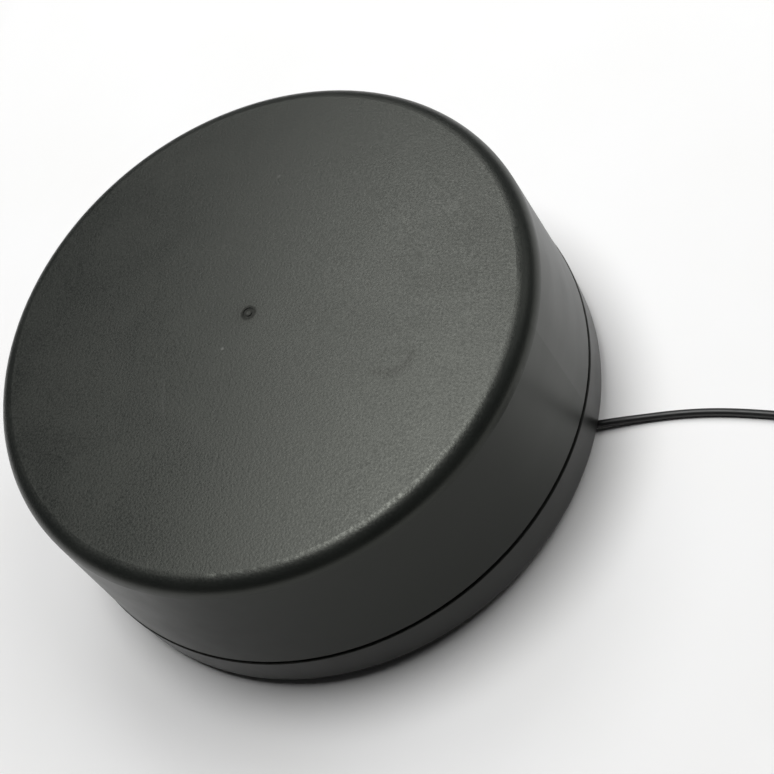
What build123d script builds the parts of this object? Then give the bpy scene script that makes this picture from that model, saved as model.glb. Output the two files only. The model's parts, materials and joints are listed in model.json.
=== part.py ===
from build123d import *
from math import cos, pi, radians, sin, tan
import os

os.makedirs("parts", exist_ok=True)

# A sealed GNSS puck with one captive lead. Millimetres, +Z up.
# The origin is the centre of the footprint on the surface that the feet stand on, and +X points
# from the axis towards the place where the lead leaves.

# ---- Driving dimensions ----
housing_r = 85.0        # outside radius of the cover at the seam
housing_h = 61.2        # underside to the rim of the top face
dome_rise = 2.5         # rise of the top face from its rim to its centre
wall_taper = 2.8        # how much the cover's radius shrinks from seam to rim
band_h = 15.5           # base band, underside to the lower edge of the seam
seam_w = 1.0            # width of the seam groove
band_proud = 0.3        # how far the base band stands outside the cover
base_round = 3.8        # radius of the base's bottom edge
top_round = 5.6         # radius of the cover's top edge
foot_proud = 0.6        # how far the feet hold the underside off the surface
seam_round = 0.3        # rounding of the two edges that face each other across the seam
wall_t = 2.8            # cover thickness
floor_t = 3.6           # base floor thickness
board_t = 1.6           # circuit board thickness
lead_d = 2.2            # lead diameter
plug_axis_z = 5.0       # height of the plug's axis, which is the coupling nut's radius

# ---- Levels and radii worked out from them ----
under_z = foot_proud
floor_z = under_z + floor_t
seam_low_z = under_z + band_h
seam_high_z = seam_low_z + seam_w
rim_z = under_z + housing_h
crown_z = rim_z + dome_rise
base_r = housing_r + band_proud
rim_r = housing_r - wall_taper
cover_inner_r = housing_r - wall_t - 0.1


def save(builder, label):
    """Label a finished piece and write it as its own STEP file."""
    builder.part.label = label
    export_step(builder.part, f"parts/{label}.step")


def corner_radii(route, share=0.45):
    """The largest arc that the two runs at each corner leave room for."""
    points = [Vector(*p) for p in route]
    radii = []
    for before, corner, after in zip(points, points[1:], points[2:]):
        turn = (corner - before).get_angle(after - corner)
        shorter = min((corner - before).length, (after - corner).length)
        radii.append(share * shorter / tan(radians(turn) / 2))
    return radii


def round_tube(route, diameter, name, share=0.45):
    """A round tube of straight runs joined by tangent arcs."""
    radii = corner_radii(route, share)
    with BuildPart() as tube:
        with BuildLine() as path:
            FilletPolyline(*route, radius=radii)
        with BuildSketch(Plane(origin=path.line @ 0, z_dir=path.line % 0)):
            Circle(diameter / 2)
        sweep()
    length = sum(edge.length for edge in path.edges())
    expected = pi * diameter**2 / 4 * length
    print(f"{name}: length {length:.1f}, tightest radius {min(radii):.1f},",
          f"volume over section x length {tube.part.volume / expected:.4f}")
    return tube


def polar_points(radius, count, start_deg):
    """Centres of evenly spaced features on a circle."""
    step = 360 / count
    angles = [radians(start_deg + i * step) for i in range(count)]
    return [(radius * cos(a), radius * sin(a)) for a in angles]


# ---- Fixings that several pieces share ----
post_points = polar_points(74.5, 6, 30)
post_r = 4.5
housing_screw_r = 1.5
housing_screw_head_r = 2.8
counterbore_r = 3.2
screw_slack = 0.2       # clearance around a housing screw in the base
post_boss_r = 5.0
screw_seat_z = 5.0
post_foot_z = 9.0
housing_screw_tip_z = 21.0
standoff_points = polar_points(52.0, 4, 45)
foot_points = polar_points(64.0, 4, 45)
foot_r = 7.0
foot_recess = 1.4

# ---- Seal between cover and base ----
lip_r = 84.1            # outside of the cover's lip, which is the back of the seam groove
lip_foot_z = 13.1
rabbet_r = 84.3         # inside of the base's thin rim around the lip
ledge_z = 12.9
base_inner_r = 81.5
seal_d = 1.4
seal_r = 82.9
seal_z = ledge_z + 0.2 - seal_d / 2

# ---- Pole thread insert: 5/8 inch class, modelled as a plain bore at the thread's core ----
insert_r = 11.0
insert_top_z = 17.1
thread_core_r = 6.75
thread_end_z = 15.1
thread_lead_in = 1.0
insert_boss_r = 15.0
insert_boss_top_z = 19.6

# ---- Lead entry through the underside ----
lead_run_z = under_z + lead_d / 2 + 0.1
lead_exit = (84.0, 1.0)
lead_swing_x = 79.8     # the lead starts to swing aside here, inside the channel's flared mouth
lead_rise_x = 52.0
sheath_end_z = 12.0
channel_half = 1.4
channel_top_z = lead_run_z + lead_d / 2 + 0.2
gland_low_x, gland_high_x = 49.5, 63.5
gland_centre = ((gland_low_x + gland_high_x) / 2, 0)
gland_l = gland_high_x - gland_low_x
gland_half_y = 3.5
channel_overrun = 1.0   # how far the channel's cut runs into the gland and past the rim
mouth_flare = 0.6
mouth_l = 3.0
gland_top_z = 9.0
collar_t = 1.5
clamp_t = 1.6
clamp_screw_x = 56.0
clamp_screw_y = 9.0
clamp_screw_r = 1.25
clamp_boss_r = 3.0
clamp_points = [(clamp_screw_x, clamp_screw_y), (clamp_screw_x, -clamp_screw_y)]
clamp_hole_depth = 4.0
vent_x = -45.0
vent_flange_r = 6.0
vent_stem_r = 3.0
vent_flange_t = 0.9
vent_gap = 0.1          # between the vent's flange and the bottom of its recess or the underside
vent_barb_r, vent_barb_h = 3.5, 1.0

# ---- Board and antenna levels ----
board_z = 24.0
board_top_z = board_z + board_t
board_r = 62.0
plane_z = 38.0
plane_top_z = plane_z + board_t
plane_r = 68.0
lower_element_r, lower_element_t = 46.0, 6.0
lower_patch_r = 39.0
upper_element_r, upper_element_t = 33.0, 5.0
upper_patch_r = 26.0
patch_t = 0.5
lower_patch_z = plane_top_z + lower_element_t
upper_element_z = lower_patch_z + patch_t
upper_patch_z = upper_element_z + upper_element_t
stack_top_z = upper_patch_z + patch_t
bolt_r = 2.5
feed_circle_r = 16.0
feed_pin_r = 0.6
feed_points = polar_points(feed_circle_r, 4, 45)
m3_r = 1.5
m3_hole_depth = 7.0
m3_stud_l = 6.0         # how far an upper standoff's stud reaches into the lower standoff
m3_screw_reach = 5.0    # how far a board screw reaches into the upper standoff
m3_head_r, m3_head_h = 2.75, 1.9
standoff_across = 6.0
spigot_r, spigot_l = 2.0, 5.0
lower_boss_r, lower_boss_top_z = 4.5, 10.0

# ---- Base housing ----
with BuildPart() as base_housing:
    with BuildSketch(Plane.XZ) as base_profile:
        with BuildLine():
            Line((0, under_z), (base_r - base_round, under_z))
            TangentArc((base_r - base_round, under_z), (base_r, under_z + base_round), tangent=(1, 0))
            Polyline(
                (base_r, under_z + base_round),
                (base_r, seam_low_z),
                (rabbet_r, seam_low_z),
                (rabbet_r, ledge_z),
                (seal_r + seal_d / 2, ledge_z),
                (seal_r + seal_d / 2, seal_z - seal_d / 2),
                (seal_r - seal_d / 2, seal_z - seal_d / 2),
                (seal_r - seal_d / 2, ledge_z),
                (base_inner_r, ledge_z),
                (base_inner_r, floor_z),
                (0, floor_z),
                (0, under_z),
            )
        make_face()
        fillet(base_profile.vertices().sort_by_distance((base_r, seam_low_z, 0))[0], seam_round)
    revolve(axis=Axis.Z)
    with BuildSketch(Plane.XY.offset(floor_z)):
        Circle(insert_boss_r)
    extrude(amount=insert_boss_top_z - floor_z)
    with BuildSketch(Plane.XY.offset(floor_z)):
        with Locations(*post_points):
            Circle(post_boss_r)
    extrude(amount=post_foot_z - floor_z)
    with BuildSketch(Plane.XY.offset(floor_z)):
        with Locations(*standoff_points):
            Circle(lower_boss_r)
    extrude(amount=lower_boss_top_z - floor_z)
    with BuildSketch(Plane.XY.offset(floor_z)):
        with Locations(*clamp_points):
            Circle(clamp_boss_r)
        with Locations(gland_centre):
            Rectangle(gland_l + 2 * collar_t, 2 * (gland_half_y + collar_t))
    extrude(amount=gland_top_z - floor_z)
    with BuildSketch(Plane.XY.offset(under_z)):
        Circle(insert_r)
    extrude(amount=insert_top_z - under_z, mode=Mode.SUBTRACT)
    with BuildSketch(Plane.XY.offset(under_z)):
        with Locations(*post_points):
            Circle(counterbore_r)
    extrude(amount=screw_seat_z - under_z, mode=Mode.SUBTRACT)
    with BuildSketch(Plane.XY.offset(screw_seat_z)):
        with Locations(*post_points):
            Circle(housing_screw_r + screw_slack)
    extrude(amount=post_foot_z - screw_seat_z, mode=Mode.SUBTRACT)
    with BuildSketch(Plane.XY.offset(under_z)):
        with Locations(*foot_points):
            Circle(foot_r)
    extrude(amount=foot_recess, mode=Mode.SUBTRACT)
    with BuildSketch(Plane.XY.offset(lower_boss_top_z)):
        with Locations(*standoff_points):
            Circle(spigot_r)
    extrude(amount=-spigot_l, mode=Mode.SUBTRACT)
    with BuildSketch(Plane.XY.offset(gland_top_z)):
        with Locations(*clamp_points):
            Circle(clamp_screw_r)
    extrude(amount=-clamp_hole_depth, mode=Mode.SUBTRACT)
    with BuildSketch(Plane.XY.offset(under_z)):
        with Locations(gland_centre):
            Rectangle(gland_l, 2 * gland_half_y)
    extrude(amount=gland_top_z - under_z, mode=Mode.SUBTRACT)
    # The channel is straight, then flares to one side where the lead leaves the rim.
    with BuildSketch(Plane.XY.offset(under_z)):
        with BuildLine():
            Polyline(
                (gland_high_x - channel_overrun, -channel_half),
                (base_r + channel_overrun, -channel_half),
                (base_r + channel_overrun, lead_exit[1] + channel_half + mouth_flare),
                (lead_swing_x - mouth_l, channel_half),
                (gland_high_x - channel_overrun, channel_half),
                close=True,
            )
        make_face()
    extrude(amount=channel_top_z - under_z, mode=Mode.SUBTRACT)
    with BuildSketch(Plane.XY.offset(under_z)):
        with Locations((vent_x, 0)):
            Circle(vent_flange_r)
    extrude(amount=vent_flange_t + vent_gap, mode=Mode.SUBTRACT)
    with BuildSketch(Plane.XY.offset(under_z)):
        with Locations((vent_x, 0)):
            Circle(vent_stem_r)
    extrude(amount=floor_t, mode=Mode.SUBTRACT)
save(base_housing, "base_housing")

# ---- Cover ----
gate_ring = (1.7, 1.0)  # outer and inner radius of the moulding gate's witness ring
gate_depth = 0.25
rib_t = 3.0
rib_mid_r, rib_l = 78.0, 7.0
post_top_z = rim_z - wall_t / 2
rib_top_z = rim_z - top_round
pilot_reach = 2.0       # how far a screw's pilot hole runs past the screw's tip
with BuildPart() as radome:
    with BuildSketch(Plane.XZ) as cover_profile:
        with BuildLine():
            Line((lip_r, seam_high_z), (housing_r, seam_high_z))
            Line((housing_r, seam_high_z), (rim_r, rim_z))
            TangentArc((0, crown_z), (rim_r, rim_z), tangent=(1, 0))
            Line((0, crown_z), (0, crown_z - wall_t))
            TangentArc((0, crown_z - wall_t), (rim_r - wall_t, rim_z - wall_t), tangent=(1, 0))
            Polyline(
                (rim_r - wall_t, rim_z - wall_t),
                (cover_inner_r, seam_high_z),
                (cover_inner_r, lip_foot_z),
                (lip_r, lip_foot_z),
                (lip_r, seam_high_z),
            )
        make_face()
        fillet(cover_profile.vertices().sort_by_distance((rim_r, rim_z, 0))[0], top_round)
        inner_corner = (rim_r - wall_t, rim_z - wall_t, 0)
        fillet(cover_profile.vertices().sort_by_distance(inner_corner)[0], top_round - wall_t)
        fillet(cover_profile.vertices().sort_by_distance((housing_r, seam_high_z, 0))[0], seam_round)
    revolve(axis=Axis.Z)
    # Screw posts, each tied to the wall by a rib.
    with BuildSketch(Plane.XY.offset(post_foot_z)):
        with Locations(*post_points):
            Circle(post_r)
    extrude(amount=post_top_z - post_foot_z)
    with BuildSketch(Plane.XY.offset(seam_high_z)):
        with PolarLocations(rib_mid_r, len(post_points), start_angle=30):
            Rectangle(rib_l, rib_t)
    extrude(amount=rib_top_z - seam_high_z)
    with BuildSketch(Plane.XY.offset(post_foot_z)):
        with Locations(*post_points):
            Circle(housing_screw_r)
    extrude(amount=housing_screw_tip_z + pilot_reach - post_foot_z, mode=Mode.SUBTRACT)
    with BuildSketch(Plane.XY.offset(crown_z - gate_depth)):
        Circle(gate_ring[0])
        Circle(gate_ring[1], mode=Mode.SUBTRACT)
    extrude(amount=2 * gate_depth, mode=Mode.SUBTRACT)
save(radome, "radome")

# ---- Seal, feet, thread insert and vent ----
with BuildPart() as seal_ring:
    with BuildSketch(Plane.XZ):
        with Locations((seal_r, seal_z)):
            Circle(seal_d / 2)
    revolve(axis=Axis.Z)
save(seal_ring, "seal_ring")

with BuildPart() as rubber_feet:
    with BuildSketch():
        with Locations(*foot_points):
            Circle(foot_r)
    extrude(amount=foot_proud + foot_recess)
    chamfer(rubber_feet.edges().group_by(Axis.Z)[0], 0.3)
save(rubber_feet, "rubber_feet")

with BuildPart() as pole_insert:
    with BuildSketch(Plane.XY.offset(under_z)):
        Circle(insert_r)
    extrude(amount=insert_top_z - under_z)
    with BuildSketch(Plane.XY.offset(under_z)):
        Circle(thread_core_r)
    extrude(amount=thread_end_z - under_z, mode=Mode.SUBTRACT)
    mouth = pole_insert.edges().filter_by(GeomType.CIRCLE).group_by(Axis.Z)[0].sort_by(SortBy.RADIUS)[0]
    chamfer(mouth, thread_lead_in)
save(pole_insert, "pole_insert")

with BuildPart() as vent_plug:
    with BuildSketch(Plane.XY.offset(under_z + vent_gap)):
        with Locations((vent_x, 0)):
            Circle(vent_flange_r)
    extrude(amount=vent_flange_t)
    with BuildSketch(Plane.XY.offset(under_z + vent_gap + vent_flange_t)):
        with Locations((vent_x, 0)):
            Circle(vent_stem_r)
    extrude(amount=floor_z - under_z - vent_flange_t - vent_gap)
    with BuildSketch(Plane.XY.offset(floor_z)):
        with Locations((vent_x, 0)):
            Circle(vent_barb_r)
    extrude(amount=vent_barb_h)
save(vent_plug, "vent_plug")


# The cross recess of a screw head, as shares of the head's radius and height.
recess_arm, recess_slot, recess_depth = 1.2, 0.28, 0.55


def screw_group(points, seat_z, tip_z, shank_r, head_r, head_h, down):
    """Pan-head screws: the shank runs from the seat to the tip, the head lies beyond the seat."""
    head_dir = -1 if down else 1
    with BuildPart() as screws:
        with BuildSketch(Plane.XY.offset(seat_z)):
            with Locations(*points):
                Circle(shank_r)
        extrude(amount=tip_z - seat_z)
        with BuildSketch(Plane.XY.offset(seat_z)):
            with Locations(*points):
                Circle(head_r)
        extrude(amount=head_dir * head_h)
        # Cross recess in each head.
        with BuildSketch(Plane.XY.offset(seat_z + head_dir * head_h)):
            with Locations(*points):
                Rectangle(head_r * recess_arm, head_r * recess_slot)
                Rectangle(head_r * recess_slot, head_r * recess_arm)
        extrude(amount=-head_dir * head_h * recess_depth, mode=Mode.SUBTRACT)
    return screws


housing_screws = screw_group(post_points, screw_seat_z, housing_screw_tip_z, housing_screw_r,
                             housing_screw_head_r, 2.4, down=True)
save(housing_screws, "housing_screws")

# ---- Lead inside the housing, gland and clamp ----
inner_route = [
    (lead_rise_x, 0, sheath_end_z),
    (lead_rise_x, 0, lead_run_z),
    (lead_swing_x, 0, lead_run_z),
    (lead_exit[0], lead_exit[1], lead_run_z),
]
inner_lead = round_tube(inner_route, lead_d, "inner_lead", share=0.8)
save(inner_lead, "inner_lead")

with BuildPart() as cable_gland:
    with BuildSketch(Plane.XY.offset(under_z)):
        with Locations(gland_centre):
            Rectangle(gland_l, 2 * gland_half_y)
    extrude(amount=gland_top_z - under_z)
    add(inner_lead.part, mode=Mode.SUBTRACT)
save(cable_gland, "cable_gland")

with BuildPart() as cable_clamp:
    with BuildSketch(Plane.XY.offset(gland_top_z)):
        with Locations((clamp_screw_x, 0)):
            RectangleRounded(15.0, 2 * clamp_screw_y + 6.5, 2.5)
        with Locations((lead_rise_x + 0.2, 0)):
            Circle(lead_d / 2 + 0.5, mode=Mode.SUBTRACT)
        with Locations(*clamp_points):
            Circle(clamp_screw_r, mode=Mode.SUBTRACT)
    extrude(amount=clamp_t)
save(cable_clamp, "cable_clamp")

clamp_seat_z = gland_top_z + clamp_t
clamp_screw_l = 5.4
clamp_screws = screw_group(clamp_points, clamp_seat_z, clamp_seat_z - clamp_screw_l, clamp_screw_r,
                           2.3, 1.7, down=False)
save(clamp_screws, "clamp_screws")

# ---- Header on the board, its plug, and the four wires between sheath and plug ----
header_size = (11.0, 6.0, 5.0)
header_cavity = 3.6
shell_slack = 0.2       # gap between the header's cavity and the plug's shell, both sides together
shell_reach = 3.4
plug_shell = (9.2, 4.2)
plug_bottom_z = 17.0
header_z = board_z - header_size[2]
with BuildPart() as cable_header:
    with BuildSketch(Plane.XY.offset(header_z)):
        with Locations((lead_rise_x, 0)):
            Rectangle(header_size[0], header_size[1])
    extrude(amount=header_size[2])
    with BuildSketch(Plane.XY.offset(header_z)):
        with Locations((lead_rise_x, 0)):
            Rectangle(plug_shell[0] + shell_slack, plug_shell[1] + shell_slack)
    extrude(amount=header_cavity, mode=Mode.SUBTRACT)
save(cable_header, "cable_header")

with BuildPart() as lead_plug:
    with BuildSketch(Plane.XY.offset(plug_bottom_z)):
        with Locations((lead_rise_x, 0)):
            Rectangle(*plug_shell)
    extrude(amount=header_z + shell_reach - plug_bottom_z)
    fillet(lead_plug.edges().filter_by(Axis.Z), 0.4)
save(lead_plug, "lead_plug")

wire_d = 0.7
wire_straight = 1.2     # straight stretch at each end of a wire
wire_starts = [(-0.5, -0.42), (-0.5, 0.42), (0.5, -0.42), (0.5, 0.42)]
wire_ends = [-3.3, -1.1, 1.1, 3.3]
with BuildPart() as lead_wires:
    for (dx, dy), end in zip(wire_starts, wire_ends):
        wire_route = [
            (lead_rise_x + dx, dy, sheath_end_z),
            (lead_rise_x + dx, dy, sheath_end_z + wire_straight),
            (lead_rise_x + end, 0, plug_bottom_z - wire_straight),
            (lead_rise_x + end, 0, plug_bottom_z),
        ]
        add(round_tube(wire_route, wire_d, "lead_wire").part)
save(lead_wires, "lead_wires")

# ---- Standoffs ----
with BuildPart() as lower_standoffs:
    with BuildSketch(Plane.XY.offset(lower_boss_top_z)):
        with Locations(*standoff_points):
            RegularPolygon(standoff_across / 2, 6, major_radius=False)
    extrude(amount=board_z - lower_boss_top_z)
    with BuildSketch(Plane.XY.offset(lower_boss_top_z)):
        with Locations(*standoff_points):
            Circle(spigot_r)
    extrude(amount=-spigot_l)
    with BuildSketch(Plane.XY.offset(board_z)):
        with Locations(*standoff_points):
            Circle(m3_r)
    extrude(amount=-m3_hole_depth, mode=Mode.SUBTRACT)
save(lower_standoffs, "lower_standoffs")

with BuildPart() as upper_standoffs:
    with BuildSketch(Plane.XY.offset(board_top_z)):
        with Locations(*standoff_points):
            RegularPolygon(standoff_across / 2, 6, major_radius=False)
    extrude(amount=plane_z - board_top_z)
    with BuildSketch(Plane.XY.offset(board_top_z)):
        with Locations(*standoff_points):
            Circle(m3_r)
    extrude(amount=-(board_t + m3_stud_l))
    with BuildSketch(Plane.XY.offset(plane_z)):
        with Locations(*standoff_points):
            Circle(m3_r)
    extrude(amount=-m3_hole_depth, mode=Mode.SUBTRACT)
save(upper_standoffs, "upper_standoffs")

board_screws = screw_group(standoff_points, plane_top_z, plane_z - m3_screw_reach, m3_r,
                           m3_head_r, m3_head_h, down=False)
save(board_screws, "board_screws")

# ---- Receiver board and what it carries ----
with BuildPart() as receiver_board:
    with BuildSketch(Plane.XY.offset(board_z)):
        Circle(board_r)
        with Locations(*standoff_points):
            Circle(m3_r, mode=Mode.SUBTRACT)
    extrude(amount=board_t)
save(receiver_board, "receiver_board")

module_h = 3.2
with BuildPart() as receiver_module:
    with BuildSketch(Plane.XY.offset(board_top_z)):
        with Locations((14.0, 12.0)):
            RectangleRounded(32.0, 26.0, 1.0)
    extrude(amount=module_h)
save(receiver_module, "receiver_module")

# Centre x, centre y, length, width and height of each rectangular component.
chips = [
    (-22.0, -26.0, 12.0, 12.0, 1.4),
    (16.0, -30.0, 8.0, 8.0, 1.1),
    (-4.0, -14.0, 6.0, 5.0, 1.6),
    (34.0, -8.0, 7.0, 7.0, 3.0),
    (-44.0, -6.0, 5.0, 3.2, 1.2),
    (-6.0, -44.0, 10.0, 4.0, 2.2),
]
capacitors = [(30.0, -26.0), (42.0, 10.0), (-46.0, 8.0)]
capacitor_r, capacitor_h = 3.15, 5.4
with BuildPart() as board_components:
    for x, y, length, width, height in chips:
        with BuildSketch(Plane.XY.offset(board_top_z)):
            with Locations((x, y)):
                Rectangle(length, width)
        extrude(amount=height)
    with BuildSketch(Plane.XY.offset(board_top_z)):
        with Locations(*capacitors):
            Circle(capacitor_r)
    extrude(amount=capacitor_h)
save(board_components, "board_components")

cell_r, cell_h = 6.25, 3.4
with BuildPart() as backup_cell:
    with BuildSketch(Plane.XY.offset(board_top_z)):
        with Locations((-26.0, 22.0)):
            Circle(cell_r)
    extrude(amount=cell_h)
save(backup_cell, "backup_cell")

# ---- Ground plane and antenna stack ----
with BuildPart() as ground_plane_board:
    with BuildSketch(Plane.XY.offset(plane_z)):
        Circle(plane_r)
        Circle(bolt_r, mode=Mode.SUBTRACT)
        with Locations(*standoff_points):
            Circle(m3_r, mode=Mode.SUBTRACT)
        with Locations(*feed_points):
            Circle(feed_pin_r, mode=Mode.SUBTRACT)
    extrude(amount=board_t)
save(ground_plane_board, "ground_plane_board")

can_h = 4.5
with BuildPart() as lna_shield_can:
    with BuildSketch(Plane.XY.offset(plane_z - can_h)):
        with Locations((-34.0, 0)):
            RectangleRounded(26.0, 34.0, 1.0)
    extrude(amount=can_h)
save(lna_shield_can, "lna_shield_can")


def stack_disc(radius, low_z, thickness, pin_hole_r):
    """One disc of the antenna stack, with the centre bolt's hole and four feed holes."""
    with BuildPart() as disc:
        with BuildSketch(Plane.XY.offset(low_z)):
            Circle(radius)
            Circle(bolt_r, mode=Mode.SUBTRACT)
            with Locations(*feed_points):
                Circle(pin_hole_r, mode=Mode.SUBTRACT)
        extrude(amount=thickness)
    return disc


feed_clearance_r = 1.4
lower_antenna_element = stack_disc(lower_element_r, plane_top_z, lower_element_t, feed_pin_r)
save(lower_antenna_element, "lower_antenna_element")
lower_patch_plate = stack_disc(lower_patch_r, lower_patch_z, patch_t, feed_clearance_r)
save(lower_patch_plate, "lower_patch_plate")
upper_antenna_element = stack_disc(upper_element_r, upper_element_z, upper_element_t, feed_pin_r)
save(upper_antenna_element, "upper_antenna_element")
upper_patch_plate = stack_disc(upper_patch_r, upper_patch_z, patch_t, feed_pin_r)
save(upper_patch_plate, "upper_patch_plate")

pin_low_z = plane_z - 0.8
pin_high_z = stack_top_z + 0.5
with BuildPart() as feed_pins:
    with BuildSketch(Plane.XY.offset(pin_low_z)):
        with Locations(*feed_points):
            Circle(feed_pin_r)
    extrude(amount=pin_high_z - pin_low_z)
save(feed_pins, "feed_pins")

hex_inradius = 4.0
bolt_head_h = 2.6
bolt_end_proud = 0.8
nut_t = 2.8
with BuildPart() as centre_bolt:
    with BuildSketch(Plane.XY.offset(plane_z)):
        RegularPolygon(hex_inradius, 6, major_radius=False)
    extrude(amount=-bolt_head_h)
    with BuildSketch(Plane.XY.offset(plane_z)):
        Circle(bolt_r)
    extrude(amount=stack_top_z + nut_t + bolt_end_proud - plane_z)
save(centre_bolt, "centre_bolt")

with BuildPart() as centre_nut:
    with BuildSketch(Plane.XY.offset(stack_top_z)):
        RegularPolygon(hex_inradius, 6, major_radius=False)
        Circle(bolt_r, mode=Mode.SUBTRACT)
    extrude(amount=nut_t)
save(centre_nut, "centre_nut")

# ---- Coaxial jumper between the two boards ----
jumper_d = 1.2
jumper_plug_h = 2.0
jumper_plug_side = 3.0
jumper_low_y = 35.0
jumper_high_y = 60.0
jumper_low_z = board_top_z + 1.3
jumper_high_z = plane_z - 1.3
jumper_route = [
    (0, jumper_low_y + 1.5, jumper_low_z),
    (0, jumper_low_y + 8.5, jumper_low_z),
    (0, jumper_high_y - 8.5, jumper_high_z),
    (0, jumper_high_y - 1.5, jumper_high_z),
]
jumper_coax = round_tube(jumper_route, jumper_d, "jumper_coax")
save(jumper_coax, "jumper_coax")

with BuildPart() as jumper_plugs:
    with BuildSketch(Plane.XY.offset(board_top_z)):
        with Locations((0, jumper_low_y)):
            Rectangle(jumper_plug_side, jumper_plug_side)
    extrude(amount=jumper_plug_h)
    with BuildSketch(Plane.XY.offset(plane_z)):
        with Locations((0, jumper_high_y)):
            Rectangle(jumper_plug_side, jumper_plug_side)
    extrude(amount=-jumper_plug_h)
save(jumper_plugs, "jumper_plugs")

# ---- Free lead: the stretch outside the housing ----
lie_z = lead_d / 2      # height of the centreline where the lead lies on the surface
coil_pitch = 2.3        # spacing of neighbouring turns
coil_rows = 4           # layers of turns: each spirals in or out, and the next one turns back
coil_mean_r = 13.2      # six lead diameters
coil_centre = (164.6, -15.1)
coil_entry_deg = 76.0
coil_exit_deg = -10.0
coil_turns = 15 + (coil_entry_deg - coil_exit_deg) / 360
coil_spread = coil_turns / coil_rows * coil_pitch
coil_outer_turn_r = coil_mean_r + coil_spread / 2


def on_outer_turn(angle_deg, height):
    """A point on the centreline of the coil's outermost turn."""
    a = radians(angle_deg)
    x = coil_centre[0] + coil_outer_turn_r * cos(a)
    y = coil_centre[1] + coil_outer_turn_r * sin(a)
    return (x, y, height)


outer_route = [
    (lead_exit[0], lead_exit[1], lead_run_z),
    (89.2, 2.238, lead_run_z),
    (98.0, 4.25, lie_z),
    (107.5, 5.95, lie_z),
    (118.5, 7.0, lie_z),
    (131.0, 6.85, lie_z),
    (144.5, 5.9, lie_z),
    (157.0, 4.1, lie_z),
    on_outer_turn(coil_entry_deg, lie_z),
]
cable_tube = round_tube(outer_route, lead_d, "cable_tube")
save(cable_tube, "cable_tube")

coil_half_w = (coil_spread + lead_d) / 2
coil_half_h = ((coil_rows - 1) * coil_pitch + lead_d) / 2
with BuildPart() as cable_coil:
    with BuildSketch(Plane.XZ.offset(-coil_centre[1])):
        with Locations((coil_centre[0] + coil_mean_r, coil_half_h)):
            RectangleRounded(2 * coil_half_w, 2 * coil_half_h, lead_d / 2)
    revolve(axis=Axis((coil_centre[0], coil_centre[1], 0), (0, 0, 1)))
save(cable_coil, "cable_coil")

# ---- Tie around the coil: a band that passes under the turns, with its head outside ----
tie_deg = 222.0
tie_w = 2.6
tie_t = 0.6
tie_head = (2.6, 4.2, 4.2)  # outward, upward and along the turns
tie_head_lift = 2.0
tie_dir = Vector(cos(radians(tie_deg)), sin(radians(tie_deg)), 0)
tie_origin = Vector(coil_centre[0], coil_centre[1], coil_half_h + tie_t) + tie_dir * coil_mean_r
tie_plane = Plane(origin=tie_origin, x_dir=tie_dir, z_dir=tie_dir.cross(Vector(0, 0, 1)))
with BuildPart() as cable_tie:
    with BuildSketch(tie_plane):
        RectangleRounded(2 * (coil_half_w + tie_t), 2 * (coil_half_h + tie_t), lead_d / 2 + tie_t)
        RectangleRounded(2 * coil_half_w, 2 * coil_half_h, lead_d / 2, mode=Mode.SUBTRACT)
    extrude(amount=tie_w / 2, both=True)
    with BuildSketch(tie_plane):
        with Locations((coil_half_w + tie_t / 2 + tie_head[0] / 2, tie_head_lift)):
            Rectangle(tie_head[0], tie_head[1])
    extrude(amount=tie_head[2] / 2, both=True)
save(cable_tie, "cable_tie")

# ---- Tail from the coil to the plug ----
plug_dir = Vector(cos(radians(-110)), sin(radians(-110)), 0)
plug_entry = Vector(169.6, -63.4, plug_axis_z)
last_run = 7.0
before_plug = plug_entry - plug_dir * last_run
tail_top_z = lie_z + (coil_rows - 1) * coil_pitch
tail_route = [
    on_outer_turn(coil_exit_deg, tail_top_z),
    (180.1, -26.6, 6.5),
    (178.1, -34.4, 3.9),
    (176.9, -42.3, 2.6),
    (174.8, -50.0, 4.2),
    (before_plug.X, before_plug.Y, plug_axis_z),
    (plug_entry.X, plug_entry.Y, plug_axis_z),
]
cable_tail = round_tube(tail_route, lead_d, "cable_tail")
save(cable_tail, "cable_tail")

# ---- Plug: each piece is turned about the plug's axis; s runs from the lead to the mating end ----
plug_side = plug_dir.cross(Vector(0, 0, 1))
plug_section = Plane(origin=plug_entry, x_dir=plug_dir, z_dir=-plug_side)
plug_turn = Axis(plug_entry, plug_dir)
relief_end_s = 13.0
body_end_s = 25.0
neck_end_s = 28.2
flange_end_s = 29.4
insert_end_s = 35.5
nut_start_s, nut_lip_end_s, nut_end_s = 25.4, 27.9, 36.5
body_radius = 4.3
neck_radius = 2.5
flange_radius = 3.3
insert_radius = 2.8
nut_thread_core_r = 3.46


def plug_plane(s):
    """A plane across the plug's axis at distance s from the lead."""
    return Plane(origin=plug_entry + plug_dir * s, x_dir=(0, 0, 1), z_dir=plug_dir)


def turned(outline):
    """A piece turned about the plug's axis from (s, radius) points."""
    with BuildPart() as piece:
        with BuildSketch(plug_section):
            with BuildLine():
                Polyline(*outline, close=True)
            make_face()
        revolve(axis=plug_turn)
    return piece


rib_count = 4
rib_pitch = 2.6
relief_outline = [(0, 0), (0, 1.9), (1.2, 2.0)]
for i in range(rib_count):
    s = 1.2 + i * rib_pitch
    swell = 2.0 + 0.28 * i
    relief_outline += [(s + 0.9, swell), (s + 0.9, swell + 0.6), (s + 2.0, swell + 0.6), (s + 2.0, swell)]
relief_outline += [(relief_end_s, 3.0), (relief_end_s, 0)]
plug_strain_relief = turned(relief_outline)
save(plug_strain_relief, "plug_strain_relief")

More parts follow.
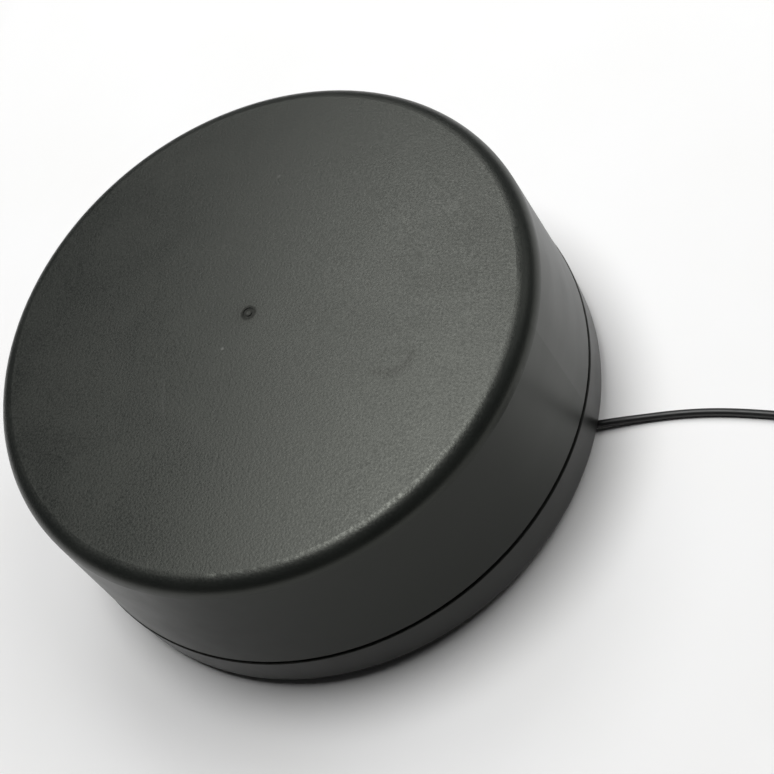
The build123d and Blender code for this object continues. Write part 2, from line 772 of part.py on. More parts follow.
with BuildPart() as plug_body:
    with BuildSketch(plug_section):
        with BuildLine():
            Polyline(
                (relief_end_s, 0),
                (relief_end_s, 3.3),
                (relief_end_s + 1.6, body_radius),
                (body_end_s - 0.6, body_radius),
                (body_end_s, body_radius - 0.6),
                (body_end_s, neck_radius),
                (neck_end_s, neck_radius),
                (neck_end_s, flange_radius),
                (flange_end_s, flange_radius),
                (flange_end_s, 0),
                close=True,
            )
        make_face()
    revolve(axis=plug_turn)
    # Finger grooves along the grip.
    with BuildSketch(plug_plane(relief_end_s + 3.0)):
        with PolarLocations(body_radius + 0.15, 12):
            Circle(0.5)
    extrude(amount=7.0, mode=Mode.SUBTRACT)
save(plug_body, "plug_body")

contact_r = 0.5
contact_depth = 4.6
with BuildPart() as plug_insert:
    with BuildSketch(plug_plane(flange_end_s)):
        Circle(insert_radius)
    extrude(amount=insert_end_s - flange_end_s)
    with BuildSketch(plug_plane(insert_end_s)):
        with PolarLocations(1.45, 4, start_angle=45):
            Circle(contact_r)
    extrude(amount=-contact_depth, mode=Mode.SUBTRACT)
    # Key slot.
    with BuildSketch(plug_plane(insert_end_s)):
        with Locations((insert_radius, 0)):
            Rectangle(0.8, 0.9)
    extrude(amount=-3.5, mode=Mode.SUBTRACT)
save(plug_insert, "plug_insert")

with BuildPart() as plug_contacts:
    with BuildSketch(plug_plane(insert_end_s - contact_depth)):
        with PolarLocations(1.45, 4, start_angle=45):
            Circle(contact_r)
    extrude(amount=contact_depth - 0.3)
    with BuildSketch(plug_plane(insert_end_s - 0.3)):
        with PolarLocations(1.45, 4, start_angle=45):
            Circle(contact_r - 0.2)
    extrude(amount=-3.5, mode=Mode.SUBTRACT)
save(plug_contacts, "plug_contacts")

plug_seal = turned([
    (flange_end_s, insert_radius),
    (flange_end_s, flange_radius),
    (flange_end_s + 1.0, flange_radius),
    (flange_end_s + 1.0, insert_radius),
])
save(plug_seal, "plug_seal")

nut_radius = plug_axis_z
knurl_count = 24
with BuildPart() as plug_nut:
    with BuildSketch(plug_section):
        with BuildLine():
            Polyline(
                (nut_start_s, neck_radius + 0.1),
                (nut_start_s, nut_radius - 0.5),
                (nut_start_s + 0.5, nut_radius),
                (nut_end_s - 2.4, nut_radius),
                (nut_end_s - 1.9, nut_radius - 0.5),
                (nut_end_s, nut_radius - 0.5),
                (nut_end_s, nut_thread_core_r),
                (nut_lip_end_s, nut_thread_core_r),
                (nut_lip_end_s, neck_radius + 0.1),
                close=True,
            )
        make_face()
    revolve(axis=plug_turn)
    with BuildSketch(plug_plane(nut_start_s + 1.0)):
        with PolarLocations(nut_radius + 0.08, knurl_count, start_angle=180 / knurl_count):
            Rectangle(0.5, 0.5, rotation=45)
    extrude(amount=nut_end_s - nut_start_s - 4.0, mode=Mode.SUBTRACT)
save(plug_nut, "plug_nut")

# ---- Length of the whole free lead ----
coil_length = 2 * pi * coil_mean_r * coil_turns
straight_volume = cable_tube.part.volume + cable_tail.part.volume
free_length = straight_volume / (pi * lead_d**2 / 4) + coil_length
print(f"free lead: {free_length:.0f} mm, of which {coil_length:.0f} mm in the coil")
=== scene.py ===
import json
from math import cos, floor, pi, radians, sin

import bpy
from mathutils import Matrix, Vector


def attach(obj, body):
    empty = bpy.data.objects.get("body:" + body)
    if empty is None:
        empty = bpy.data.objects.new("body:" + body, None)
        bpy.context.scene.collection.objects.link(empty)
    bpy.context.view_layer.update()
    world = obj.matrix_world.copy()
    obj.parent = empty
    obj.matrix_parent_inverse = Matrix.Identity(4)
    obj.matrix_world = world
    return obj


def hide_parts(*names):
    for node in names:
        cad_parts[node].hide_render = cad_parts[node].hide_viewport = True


# The sealed puck, its captive lead and its plug. Metres, +Z up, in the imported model's frame.

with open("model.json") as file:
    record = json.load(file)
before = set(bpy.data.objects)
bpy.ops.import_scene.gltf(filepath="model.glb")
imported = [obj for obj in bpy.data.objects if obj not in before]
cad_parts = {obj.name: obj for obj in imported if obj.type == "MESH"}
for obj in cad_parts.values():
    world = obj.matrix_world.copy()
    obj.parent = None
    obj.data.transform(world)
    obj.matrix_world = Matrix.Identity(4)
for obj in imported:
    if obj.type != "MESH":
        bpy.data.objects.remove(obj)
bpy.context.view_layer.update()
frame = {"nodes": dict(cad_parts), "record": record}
MM = 0.001

# ---- Heights that several pieces share, in millimetres ----
UNDER_Z = 0.6
RIM_Z = 61.8


# ---- Node helpers ----
NOISE_LOW, NOISE_HIGH = 0.3, 0.7             # where nearly all values of a noise lie


class Surface:
    """A procedural material in object coordinates, which are the row frame in metres."""

    def __init__(self, name):
        self.material = bpy.data.materials.new(name)
        self.material.use_nodes = True
        self.nodes = self.material.node_tree.nodes
        self.links = self.material.node_tree.links
        self.shader = self.nodes["Principled BSDF"]
        self.place = self.nodes.new("ShaderNodeTexCoord").outputs["Object"]

    def set(self, **values):
        """Uniform values on the shader's own sockets."""
        for socket, value in values.items():
            self.shader.inputs[socket.replace("_", " ")].default_value = value

    def link(self, output, socket):
        self.links.new(output, self.shader.inputs[socket])

    def feed(self, value, target):
        """Link an output to a socket, or set a plain value on it."""
        if isinstance(value, bpy.types.NodeSocket):
            self.links.new(value, target)
        else:
            target.default_value = value

    def fed(self, kind, **inputs):
        """A new node with the given sockets fed: by name, or by number after an underscore."""
        node = self.nodes.new(kind)
        for socket, value in inputs.items():
            self.feed(value, node.inputs[int(socket[1:]) if socket[0] == "_" else socket])
        return node

    def stretched(self, x, y, z):
        """Object coordinates scaled along each axis."""
        return self.fed("ShaderNodeMapping", Vector=self.place, Scale=(x, y, z)).outputs[0]

    def noise(self, size_mm, detail=3.0, rough=0.5, place=None, distortion=0.0):
        """Noise whose features are about size_mm across."""
        node = self.fed("ShaderNodeTexNoise", Vector=place or self.place, Scale=1000.0 / size_mm,
                        Detail=detail, Roughness=rough, Distortion=distortion)
        return node.outputs["Fac"]

    def math(self, operation, a, b=0.0, clamp=False):
        node = self.fed("ShaderNodeMath", _0=a, _1=b)
        node.operation = operation
        node.use_clamp = clamp
        return node.outputs[0]

    def plus(self, a, b, clamp=False):
        return self.math("ADD", a, b, clamp)

    def minus(self, a, b):
        return self.math("SUBTRACT", a, b)

    def times(self, a, b):
        return self.math("MULTIPLY", a, b)

    def away_from(self, value, centre):
        """How far a value is from a centre, on either side."""
        return self.math("ABSOLUTE", self.minus(value, centre))

    def span(self, value, low, high, out_low=0.0, out_high=1.0, smooth=False):
        """The value carried from low..high to out_low..out_high, held at the ends."""
        node = self.fed("ShaderNodeMapRange", Value=value)
        node.interpolation_type = "SMOOTHSTEP" if smooth else "LINEAR"
        limits = {"From Min": low, "From Max": high, "To Min": out_low, "To Max": out_high}
        for socket, limit in limits.items():
            node.inputs[socket].default_value = limit
        return node.outputs["Result"]

    def vary(self, noise, low=0.0, high=1.0):
        """A noise value carried from its usual range to low..high."""
        return self.span(noise, NOISE_LOW, NOISE_HIGH, low, high)

    def fade(self, value, full_mm, gone_mm, strength=1.0):
        """The strength where the value is under full_mm, fading to nothing at gone_mm."""
        return self.span(value, full_mm * MM, gone_mm * MM, strength, 0.0, smooth=True)

    def mix(self, factor, a, b):
        """Two colours mixed. Sockets 0, 6 and 7 of the node are its factor and its two colours."""
        node = self.nodes.new("ShaderNodeMix")
        node.data_type = "RGBA"
        for socket, value in ((0, factor), (6, a), (7, b)):
            self.feed(value, node.inputs[socket])
        return node.outputs[2]

    def blend(self, factor, a, b):
        """Two plain values mixed. Sockets 0, 2 and 3 of the node are its factor and its two values."""
        return self.fed("ShaderNodeMix", _0=factor, _2=a, _3=b).outputs[0]

    def axis(self, letter):
        """One object coordinate, in metres."""
        split = self.fed("ShaderNodeSeparateXYZ", Vector=self.place)
        return split.outputs["XYZ".index(letter)]

    def distance(self, x_mm, y_mm):
        """Distance in plan from a point, in metres."""
        flat = self.stretched(1.0, 1.0, 0.0)
        node = self.fed("ShaderNodeVectorMath", _0=flat, _1=(x_mm * MM, y_mm * MM, 0.0))
        node.operation = "DISTANCE"
        return node.outputs["Value"]

    def streak(self, start, end, half_width_mm):
        """A straight mark in plan between two points: 1 on its line, 0 beyond its half width."""
        flat = self.stretched(1.0, 1.0, 0.0)
        first = Vector((*start, 0.0)) * MM
        run = Vector((*end, 0.0)) * MM - first
        offset = self.fed("ShaderNodeVectorMath", _0=flat, _1=first)
        offset.operation = "SUBTRACT"
        reach = self.fed("ShaderNodeVectorMath", _0=offset.outputs["Vector"], _1=run / run.length_squared)
        reach.operation = "DOT_PRODUCT"
        share = self.plus(reach.outputs["Value"], 0.0, clamp=True)
        foot = self.fed("ShaderNodeVectorMath", _0=run)
        foot.operation = "SCALE"
        self.links.new(share, foot.inputs["Scale"])
        gap = self.fed("ShaderNodeVectorMath", _0=offset.outputs["Vector"], _1=foot.outputs["Vector"])
        gap.operation = "DISTANCE"
        return self.fade(gap.outputs["Value"], 0.0, half_width_mm)

    def bump(self, height, strength, distance_mm):
        node = self.fed("ShaderNodeBump", Height=height, Strength=strength, Distance=distance_mm * MM)
        return node.outputs[0]


def grey(level, warmth=0.0):
    """A nearly neutral linear colour; warmth takes a little from the blue."""
    return (level, level * (1.0 - 0.25 * warmth), level * (1.0 - warmth), 1.0)


# ---- Cover: grained top face, satin wall ----
GRAIN_MM, PEBBLE_MM, DUST_CELL_MM = 0.65, 0.9, 5.5
GHOST_AT, GHOST_R = (46.1, -11.6), 5.85      # a faint ring left on the top
GHOST_SIDE = (0.55, -0.84)                   # the direction in which it is darkest
SCRATCH = ((-20.8, -22.0), (-17.3, -32.9), 0.9)              # start, end and half width
SPECKS = ((-4.3, 47.3, 0.8, 0.25), (-4.8, -11.6, 0.8, 0.4))  # x, y, radius and strength
TOP_SHADES = (0.0101, 0.0114, 0.0107, 1.0), (0.0137, 0.015, 0.0138, 1.0)
WALL_SHADES = (0.0048, 0.0061, 0.0049, 1.0), (0.0069, 0.0084, 0.007, 1.0)


def cover_plastic():
    s = Surface("cover_plastic")
    height = s.axis("Z")
    top = s.span(height, (RIM_Z - 3.4) * MM, (RIM_Z + 0.3) * MM, smooth=True)

    grain = s.noise(GRAIN_MM, detail=2.0, rough=0.6)
    pebbles = s.fed("ShaderNodeTexVoronoi", Vector=s.place, Scale=1000.0 / PEBBLE_MM).outputs["Distance"]
    texture = s.plus(grain, s.times(pebbles, 0.4))
    haze = s.noise(26.0, detail=3.0, rough=0.6, distortion=0.6)
    streaks = s.noise(9.0, detail=4.0, rough=0.6, place=s.stretched(1.0, 0.22, 1.0))

    # A very faint ring left by something round, darkest on one side.
    off_ring = s.away_from(s.distance(*GHOST_AT), GHOST_R * MM)
    ring = s.minus(1.0, s.span(off_ring, 0.2 * MM, 2.4 * MM, smooth=True))
    lean_x = s.times(s.minus(s.axis("X"), GHOST_AT[0] * MM), GHOST_SIDE[0])
    lean_y = s.times(s.minus(s.axis("Y"), GHOST_AT[1] * MM), GHOST_SIDE[1])
    dark_side = s.span(s.plus(lean_x, lean_y), -1.0 * MM, 5.5 * MM, smooth=True)
    ghost = s.times(s.times(ring, dark_side), top)

    # The mould's gate mark in the middle of the top: a dull spot with a paler centre, its darker colour
    # painted shade of its shallow recess, and a faint painted shade round it as a dark halo.
    middle = s.distance(0.0, 0.0)
    spot = s.fade(middle, 2.0, 2.8)
    pale_centre = s.fade(middle, 0.2, 0.9, 0.7)
    gate = s.times(s.minus(spot, pale_centre), top)
    painted_shade_halo = s.times(s.fade(middle, 1.5, 6.0), top)

    # Two pale specks, sparse dust and a faint scratch.
    marks = s.times(s.streak(*SCRATCH), 0.06)
    for x, y, radius, strength in SPECKS:
        marks = s.plus(marks, s.fade(s.distance(x, y), 0.2 * radius, radius, strength))
    cell = s.fed("ShaderNodeTexVoronoi", Vector=s.place, Scale=1000.0 / DUST_CELL_MM)
    dust = s.span(cell.outputs["Distance"], 0.0, 0.07, 1.0, 0.0)
    chance = s.fed("ShaderNodeSeparateColor", Color=cell.outputs["Color"]).outputs[0]
    dust = s.times(dust, s.span(chance, 0.86, 0.9))
    marks = s.plus(marks, s.times(dust, 0.12), clamp=True)
    marks = s.times(marks, top)

    # Handling has polished the outer edge a little, in slow patches.
    worn = s.span(s.noise(16.0, detail=3.0, rough=0.5), 0.42, 0.72)
    off_edge = s.away_from(height, (RIM_Z - 2.6) * MM)
    rub = s.times(worn, s.span(off_edge, 0.2 * MM, 2.4 * MM, 1.0, 0.0))

    grained = s.mix(s.vary(haze), *TOP_SHADES)
    smooth_wall = s.mix(s.vary(streaks), *WALL_SHADES)
    shade = s.mix(top, smooth_wall, grained)
    shade = s.mix(s.times(ghost, 0.95), shade, grey(0.001))
    # Painted shade: a faint dark halo round the gate mark.
    shade = s.mix(s.times(painted_shade_halo, 0.7), shade, grey(0.002))
    # Painted shade: the gate mark's darker colour. Its dullness is in the roughness.
    shade = s.mix(s.times(gate, 0.9), shade, grey(0.001))
    shade = s.mix(marks, shade, grey(0.16, 0.05))
    s.link(shade, "Base Color")

    top_rough = s.plus(s.vary(haze, 0.38, 0.44), s.vary(grain, -0.09, 0.09))
    top_rough = s.plus(top_rough, s.times(ghost, 0.035))
    top_rough = s.plus(top_rough, s.times(gate, 0.3))
    wall_rough = s.plus(s.vary(streaks, 0.34, 0.39), s.times(rub, -0.03))
    s.link(s.blend(top, wall_rough, top_rough), "Roughness")

    fine = s.noise(0.35, detail=2.0)
    relief = s.blend(top, s.times(fine, 0.05), texture)
    s.link(s.bump(relief, 0.7, 0.055), "Normal")
    s.set(IOR=1.5, Specular_Tint=(0.97, 1.0, 0.9, 1.0))
    return s.material


# ---- Base: satin plastic with faint flow marks, and scuffs low down where it is set down ----
BASE_SHADES = (0.0111, 0.0119, 0.0112, 1.0), (0.0146, 0.0154, 0.0142, 1.0)


def base_plastic():
    s = Surface("base_plastic")
    flow = s.noise(11.0, detail=4.0, rough=0.6)
    scuffs = s.span(s.noise(2.2, detail=5.0, rough=0.72, place=s.stretched(1.0, 0.35, 1.0)), 0.6, 0.7)
    low = s.span(s.axis("Z"), 0.4 * MM, 3.4 * MM, 1.0, 0.0)
    scuffed = s.times(scuffs, low)
    shade = s.mix(s.vary(flow), *BASE_SHADES)
    s.link(s.mix(s.times(scuffed, 0.5), shade, grey(0.05)), "Base Color")
    rough = s.plus(s.vary(flow, 0.32, 0.39), s.times(scuffed, 0.15))
    s.link(rough, "Roughness")
    s.link(s.bump(s.noise(0.35, detail=2.0), 0.35, 0.012), "Normal")
    s.set(IOR=1.5, Specular_Tint=(1.0, 1.0, 0.94, 1.0))
    return s.material


def rubber():
    s = Surface("rubber")
    dust = s.span(s.noise(1.4, detail=5.0, rough=0.7), 0.5, 0.75)
    s.link(s.mix(dust, grey(0.012), grey(0.035, 0.1)), "Base Color")
    s.link(s.span(dust, 0.0, 1.0, 0.62, 0.85), "Roughness")
    s.link(s.bump(s.noise(0.4, detail=4.0), 0.6, 0.03), "Normal")
    s.set(IOR=1.45)
    return s.material


def turned_metal(name, light, dark, low_rough, high_rough):
    """Metal with fine turned rings about the puck's axis and slight tarnish."""
    s = Surface(name)
    ring_mm = 0.22
    rings = s.math("SINE", s.times(s.distance(0.0, 0.0), 2 * pi / (ring_mm * MM)))
    tarnish = s.noise(4.0, detail=5.0, rough=0.65)
    s.link(s.mix(s.span(tarnish, 0.35, 0.7), light, dark), "Base Color")
    s.link(s.vary(tarnish, low_rough, high_rough), "Roughness")
    s.link(s.bump(s.times(rings, 0.5), 0.25, 0.012), "Normal")
    s.set(Metallic=1.0)
    return s.material


def brushed_metal(name, light, dark, low_rough, high_rough):
    """Metal with fine parallel marks and slight blotches."""
    s = Surface(name)
    marks = s.noise(0.5, detail=4.0, rough=0.6, place=s.stretched(1.0, 0.06, 0.06))
    blotch = s.noise(5.0, detail=4.0, rough=0.6)
    s.link(s.mix(s.span(blotch, 0.35, 0.7), light, dark), "Base Color")
    rough = s.vary(blotch, low_rough, high_rough)
    s.link(s.plus(rough, s.vary(marks, -0.04, 0.04)), "Roughness")
    s.link(s.bump(marks, 0.3, 0.01), "Normal")
    s.set(Metallic=1.0)
    return s.material


def solder_mask():
    """Green board with copper tracks under the mask."""
    s = Surface("board")
    tracks = s.fed("ShaderNodeTexBrick", Vector=s.stretched(1000.0, 1000.0, 0.0), Scale=0.22)
    tracks.inputs["Mortar Size"].default_value = 0.035
    tracks.inputs["Mortar Smooth"].default_value = 0.2
    lines = tracks.outputs["Fac"]
    patches = s.span(s.noise(9.0, detail=2.0), 0.5, 0.54)
    copper = s.times(lines, patches)
    shade = s.mix(s.vary(s.noise(6.0)), (0.012, 0.1, 0.035, 1), (0.016, 0.125, 0.045, 1))
    s.link(s.mix(copper, shade, (0.03, 0.21, 0.075, 1)), "Base Color")
    s.link(s.vary(s.noise(2.0), 0.24, 0.34), "Roughness")
    s.link(s.bump(copper, 0.6, 0.035), "Normal")
    return s.material


def moulded(name, dark, light, low_rough, high_rough, grain_mm=0.25, relief=0.5):
    """Moulded plastic with a fine grain and slow colour variation."""
    s = Surface(name)
    blotch = s.noise(4.0, detail=4.0, rough=0.6)
    grain = s.noise(grain_mm, detail=3.0)
    s.link(s.mix(s.vary(blotch), dark, light), "Base Color")
    rough = s.vary(blotch, low_rough, high_rough)
    s.link(s.plus(rough, s.vary(grain, -0.03, 0.03)), "Roughness")
    s.link(s.bump(grain, relief, 0.012), "Normal")
    return s.material


RED, GREEN = (0.32, 0.018, 0.012, 1), (0.02, 0.16, 0.03, 1)


def insulated_wires():
    """Four insulated wires told apart by colour, from one side of the plug to the other."""
    s = Surface("wires")
    across = s.axis("X")
    shade = grey(0.012)
    for edge_mm, colour in ((50.0, RED), (52.0, grey(0.5)), (54.2, GREEN)):
        shade = s.mix(s.span(across, (edge_mm - 0.02) * MM, (edge_mm + 0.02) * MM), shade, colour)
    s.link(shade, "Base Color")
    s.link(s.vary(s.noise(1.5), 0.34, 0.44), "Roughness")
    s.link(s.bump(s.noise(0.3), 0.3, 0.01), "Normal")
    return s.material


def jacket():
    """Lead jacket: a fine uneven surface with handling marks."""
    s = Surface("lead")
    marks = s.span(s.noise(3.0, detail=5.0, rough=0.7), 0.5, 0.72)
    s.link(s.mix(marks, grey(0.011), grey(0.022, 0.06)), "Base Color")
    s.link(s.span(marks, 0.0, 1.0, 0.42, 0.56), "Roughness")
    s.link(s.bump(s.noise(0.45, detail=3.0), 0.4, 0.015), "Normal")
    s.set(IOR=1.48)
    return s.material


materials = {
    "cover_plastic": cover_plastic(),
    "base_plastic": base_plastic(),
    "rubber": rubber(),
    "brass": turned_metal("brass", (0.72, 0.52, 0.22, 1), (0.5, 0.35, 0.15, 1), 0.24, 0.36),
    "steel": brushed_metal("steel", (0.56, 0.56, 0.57, 1), (0.44, 0.44, 0.45, 1), 0.26, 0.36),
    "can_steel": brushed_metal("can_steel", (0.62, 0.62, 0.61, 1), (0.5, 0.5, 0.49, 1), 0.22, 0.34),
    "board": solder_mask(),
    "chips": moulded("chips", grey(0.012), grey(0.018), 0.5, 0.6, grain_mm=0.18),
    "element": moulded("element", (0.66, 0.63, 0.56, 1), (0.74, 0.71, 0.64, 1), 0.5, 0.62, grain_mm=0.5),
    "copper": brushed_metal("copper", (0.72, 0.36, 0.22, 1), (0.5, 0.23, 0.13, 1), 0.25, 0.4),
    "header": moulded("header", (0.62, 0.58, 0.48, 1), (0.68, 0.65, 0.56, 1), 0.38, 0.48),
    "wires": insulated_wires(),
    "lead": jacket(),
    "tie": moulded("tie", grey(0.01), grey(0.014), 0.26, 0.34, relief=0.2),
    "plug_plastic": moulded("plug_plastic", grey(0.011), grey(0.016), 0.42, 0.52, grain_mm=0.3),
    "plug_metal": brushed_metal("plug_metal", (0.64, 0.63, 0.61, 1), (0.52, 0.51, 0.48, 1), 0.16, 0.28),
}
slot_of = {part["node"]: part["material_slot"] for part in frame["record"]["subparts"]}
for name, node in frame["nodes"].items():
    node.data.materials.clear()
    node.data.materials.append(materials[slot_of[name]])


# ---- The lead: exit, open run, coil, tail ----
LEAD_D = 2.2
COIL_CENTRE = (164.6, -15.1)
COIL_MEAN_R = 13.2
PITCH = 2.3
ROWS = 4
ENTRY_DEG, EXIT_DEG = 76.0, -10.0
TURNS = 15 + (ENTRY_DEG - EXIT_DEG) / 360
POINTS_A_TURN = 24
ROW_TURNS = TURNS / ROWS
OUTER_R = COIL_MEAN_R + ROW_TURNS * PITCH / 2
RISE_HALF = 0.3          # turns over which a change of row is spread, each side
TIE_DEG = 222.0          # where the tie crosses the turns
TIE_LIFT = 0.6           # the tie's bottom bar, which the turns rest on there
TIE_EASE_DEG = 60.0      # how far to each side the turns take to come down from it
LIE_Z = LEAD_D / 2


def smooth(t):
    t = min(max(t, 0.0), 1.0)
    return t * t * (3 - 2 * t)


def coil_point(turn):
    """The wound lead: each row spirals in or out by one pitch a turn, and the next row turns back."""
    row = min(floor(turn / ROW_TURNS), ROWS - 1)
    along = turn - row * ROW_TURNS
    inward = along if row % 2 == 0 else ROW_TURNS - along
    radius = OUTER_R - PITCH * inward
    level = 0.0
    for change in range(1, ROWS):
        level += smooth((turn - change * ROW_TURNS + RISE_HALF) / (2 * RISE_HALF))
    angle = radians(ENTRY_DEG - 360 * turn)
    x = COIL_CENTRE[0] + radius * cos(angle)
    y = COIL_CENTRE[1] + radius * sin(angle)
    from_tie = abs((ENTRY_DEG - 360 * turn - TIE_DEG + 180) % 360 - 180)
    lift = TIE_LIFT * smooth(1 - from_tie / TIE_EASE_DEG)
    return (x, y, LIE_Z + PITCH * level + lift)


open_run = [
    (84.0, 1.0, 1.8),
    (89.2, 2.238, 1.8),
    (98.0, 4.25, LIE_Z),
    (107.5, 5.95, LIE_Z),
    (118.5, 7.0, LIE_Z),
    (131.0, 6.85, LIE_Z),
    (144.5, 5.9, LIE_Z),
    (157.0, 4.1, LIE_Z),
]
PLUG_AXIS_Z = 5.0
LAST_RUN = 7.0           # the straight end of the lead, in line with the plug
plug_heading = radians(-110.0)
plug_dir = Vector((cos(plug_heading), sin(plug_heading), 0.0))
plug_entry = Vector((169.6, -63.4, PLUG_AXIS_Z))
tail = [
    (180.1, -26.6, 6.5),
    (178.1, -34.4, 3.9),
    (176.9, -42.3, 2.6),
    (174.8, -50.0, 4.2),
    tuple(plug_entry - plug_dir * LAST_RUN),
    tuple(plug_entry),
]
coil_steps = round(TURNS * POINTS_A_TURN)
wound = [coil_point(TURNS * i / coil_steps) for i in range(coil_steps + 1)]
route = open_run + wound + tail

curve = bpy.data.curves.new("lead", "CURVE")
curve.dimensions = "3D"
spline = curve.splines.new("NURBS")
spline.points.add(len(route) - 1)
for point, (x, y, z) in zip(spline.points, route):
    point.co = (x * MM, y * MM, z * MM, 1.0)
spline.order_u = 3
spline.use_endpoint_u = True
spline.resolution_u = 6
curve.bevel_depth = LEAD_D / 2 * MM
curve.bevel_resolution = 4
curve.use_fill_caps = True
curve.materials.append(materials["lead"])
lead = bpy.data.objects.new("lead", curve)
bpy.context.scene.collection.objects.link(lead)
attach(lead, "receiver")
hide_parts("cable_tube", "cable_coil", "cable_tail")


# ---- Thread insert with a cut 5/8 inch thread ----
def threaded_insert():
    insert_r, insert_top_z = 11.0, 17.1
    core_r, root_r = 6.75, 7.85
    thread_end_z, lead_in = 15.1, 1.2
    pitch = 25.4 / 11
    flank_slope, crest_share = 2.6, 0.3
    runout_gap, runout_length = 0.8, 1.2
    around, per_pitch = 96, 12
    sharp_deg = 35
    rings = round((thread_end_z - UNDER_Z) / pitch * per_pitch)
    vertices, faces = [], []

    def ring(radius_at, z):
        first = len(vertices)
        for i in range(around):
            angle = 2 * pi * i / around
            radius = radius_at(i / around)
            vertices.append((radius * cos(angle) * MM, radius * sin(angle) * MM, z * MM))
        return first

    def join(a, b):
        for i in range(around):
            j = (i + 1) % around
            faces.append((a + i, a + j, b + j, b + i))

    def thread_radius(z):
        def radius(turn):
            phase = ((z - UNDER_Z) / pitch - turn) % 1.0
            cut = min(max((0.5 - abs(phase - 0.5)) * flank_slope - crest_share, 0.0), 1.0)
            runout = smooth((thread_end_z - runout_gap - z) / runout_length)
            mouth = core_r + max(lead_in - (z - UNDER_Z), 0.0)
            return max(core_r + (root_r - core_r) * cut * runout, mouth)
        return radius

    loops = [ring(lambda t: insert_r, insert_top_z), ring(lambda t: insert_r, UNDER_Z)]
    for k in range(rings + 1):
        z = UNDER_Z + (thread_end_z - UNDER_Z) * k / rings
        loops.append(ring(thread_radius(z), z))
    for a, b in zip(loops, loops[1:]):
        join(a, b)
    bottom = len(vertices)
    vertices.append((0.0, 0.0, thread_end_z * MM))
    top = len(vertices)
    vertices.append((0.0, 0.0, insert_top_z * MM))
    for i in range(around):
        j = (i + 1) % around
        faces.append((loops[-1] + i, loops[-1] + j, bottom))
        faces.append((loops[0] + j, loops[0] + i, top))
    mesh = bpy.data.meshes.new("thread_insert")
    mesh.from_pydata(vertices, [], faces)
    mesh.validate()
    mesh.materials.append(materials["brass"])
    for polygon in mesh.polygons:
        polygon.use_smooth = True
    mesh.set_sharp_from_angle(angle=radians(sharp_deg))
    piece = bpy.data.objects.new("thread_insert", mesh)
    bpy.context.scene.collection.objects.link(piece)
    return piece


insert = threaded_insert()
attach(insert, "receiver")
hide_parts("pole_insert")


# ---- Floor, lights and camera ----
FLOOR_HALF, FLOOR_SHADE = 0.8, 0.86
FLOOR_DROP = 0.0002      # keeps the floor just clear of the feet


def square(half):
    """The corners of a level square about the origin, anticlockwise."""
    return [(x * half, y * half, 0) for x, y in ((-1, -1), (1, -1), (1, 1), (-1, 1))]


def floor_paint():
    s = Surface("floor")
    patches = s.vary(s.noise(60.0, detail=3.0))
    s.link(s.mix(patches, grey(FLOOR_SHADE), grey(FLOOR_SHADE * 0.985, 0.01)), "Base Color")
    s.set(Roughness=0.9)
    return s.material


floor_mesh = bpy.data.meshes.new("floor")
floor_mesh.from_pydata(square(FLOOR_HALF), [], [(0, 1, 2, 3)])
floor_mesh.materials.append(floor_paint())
floor_piece = bpy.data.objects.new("floor", floor_mesh)
bpy.context.scene.collection.objects.link(floor_piece)
floor_piece.location.z = -FLOOR_DROP

# A soft grey card lies on the floor beside the puck as painted shade: it stands in for the floor's shadow
# on that side, so that the wall there mirrors something darker than the floor. Only reflections see it,
# and it fades into the floor's own shade.
CARD_HALF, CARD_SHADE = 0.2, 0.43
CARD_FACING_DEG = -60.0          # the direction from the puck in which it is darkest
CARD_SPREAD = (0.36, 0.8)        # it ends and is full at these cosines of the angle off that direction
CARD_START = (90, 100)           # millimetres from the axis over which it begins
CARD_END = (130, 195)            # and over which it fades out


def floor_shade_paint():
    s = Surface("painted_shade_card")
    reach = s.distance(0.0, 0.0)
    unit = s.fed("ShaderNodeVectorMath", _0=s.place)
    unit.operation = "NORMALIZE"
    towards = (cos(radians(CARD_FACING_DEG)), sin(radians(CARD_FACING_DEG)), 0.0)
    facing = s.fed("ShaderNodeVectorMath", _0=unit.outputs["Vector"], _1=towards)
    facing.operation = "DOT_PRODUCT"
    dark = s.span(facing.outputs["Value"], *CARD_SPREAD, smooth=True)
    dark = s.times(dark, s.span(reach, *[mm * MM for mm in CARD_START], smooth=True))
    dark = s.times(dark, s.fade(reach, *CARD_END))
    # Painted shade: darker than the floor towards CARD_FACING_DEG, fading back to the floor's shade at
    # the card's ends and edges.
    s.link(s.mix(dark, grey(FLOOR_SHADE), grey(CARD_SHADE)), "Base Color")
    s.set(Roughness=0.9)
    return s.material


card_mesh = bpy.data.meshes.new("painted_shade_card")
card_mesh.from_pydata(square(CARD_HALF), [], [(0, 1, 2, 3)])
card_mesh.materials.append(floor_shade_paint())
card = bpy.data.objects.new("painted_shade_card", card_mesh)
bpy.context.scene.collection.objects.link(card)
card.location.z = -FLOOR_DROP / 2
card.visible_camera = False
card.visible_diffuse = False
card.visible_shadow = False


def soft_light(name, azimuth, elevation, distance, size, power):
    """A round soft light aimed at the puck: degrees, metres and watts. Azimuth 0 is along +X."""
    data = bpy.data.lights.new(name, "AREA")
    data.shape = "DISK"
    data.size = size
    data.energy = power
    light = bpy.data.objects.new(name, data)
    bpy.context.scene.collection.objects.link(light)
    a, e = radians(azimuth), radians(elevation)
    away = Vector((cos(e) * cos(a), cos(e) * sin(a), sin(e)))
    light.location = away * distance
    light.rotation_euler = away.to_track_quat("Z", "Y").to_euler()
    return light


LIGHT_AWAY, LIGHT_SIZE = 1.6, 0.62
for name, azimuth, elevation, power in (
    ("overhead", 150, 80, 15.3),
    ("behind_high", 100, 64, 2.2),
    ("behind_middle", 125, 56, 3.0),
    ("behind_low", 110, 48, 2.6),
    ("right_low", 50, 40, 1.1),
):
    soft_light(name, azimuth, elevation, LIGHT_AWAY, LIGHT_SIZE, power)

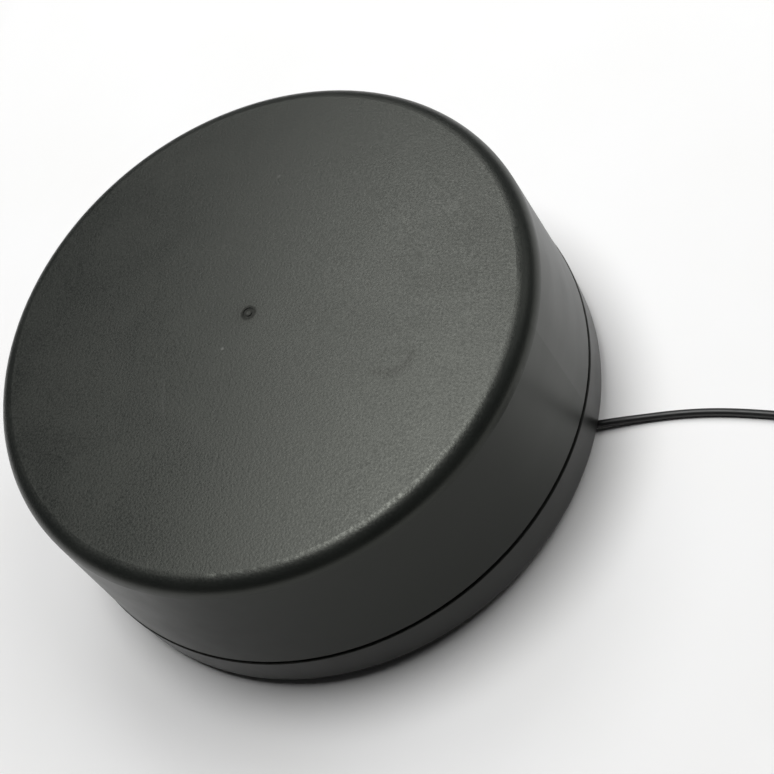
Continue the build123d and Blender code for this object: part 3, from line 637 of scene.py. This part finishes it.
# A broad fill lifts the shadow on the floor without a highlight of its own on the gloss.
fill = soft_light("floor_fill", azimuth=45, elevation=50, distance=LIGHT_AWAY, size=1.2, power=8.8)
fill.visible_glossy = False

# The room is white to look at and nearly dark as a light, so the soft lights alone shape the gloss.
ROOM_SEEN, ROOM_LIGHT = 0.92, 0.02
world = bpy.data.worlds.new("studio")
world.use_nodes = True
background = world.node_tree.nodes["Background"]
background.inputs["Color"].default_value = (1, 1, 1, 1)
path = world.node_tree.nodes.new("ShaderNodeLightPath")
strength = world.node_tree.nodes.new("ShaderNodeMapRange")
strength.inputs["To Min"].default_value = ROOM_LIGHT
strength.inputs["To Max"].default_value = ROOM_SEEN
world.node_tree.links.new(path.outputs["Is Camera Ray"], strength.inputs["Value"])
world.node_tree.links.new(strength.outputs["Result"], background.inputs["Strength"])
bpy.context.scene.world = world

# Azimuth 0 looks along +Y, and the roll leans the camera's top to the right.
CAMERA_TARGET = Vector((30.08, -3.78, 30.0)) * MM
CAMERA_AZIMUTH, CAMERA_ELEVATION, CAMERA_ROLL = 44.434, 53.06, 36.428
CAMERA_DISTANCE = 458.2 * MM
CAMERA_LENS, SENSOR_WIDTH = 74.27, 36.0      # millimetres
a, e, roll = radians(CAMERA_AZIMUTH), radians(CAMERA_ELEVATION), radians(CAMERA_ROLL)
backward = Vector((cos(e) * sin(a), -cos(e) * cos(a), sin(e)))
level_right = Vector((cos(a), sin(a), 0.0))
level_up = backward.cross(level_right)
up = level_up * cos(roll) + level_right * sin(roll)
right = up.cross(backward)
camera_data = bpy.data.cameras.new("camera")
camera_data.lens = CAMERA_LENS
camera_data.sensor_width = SENSOR_WIDTH
camera = bpy.data.objects.new("camera", camera_data)
bpy.context.scene.collection.objects.link(camera)
turn = Matrix((right, up, backward)).transposed().to_4x4()
camera.matrix_world = Matrix.Translation(CAMERA_TARGET + backward * CAMERA_DISTANCE) @ turn
bpy.context.scene.camera = camera
bpy.context.scene.view_settings.view_transform = "Standard"
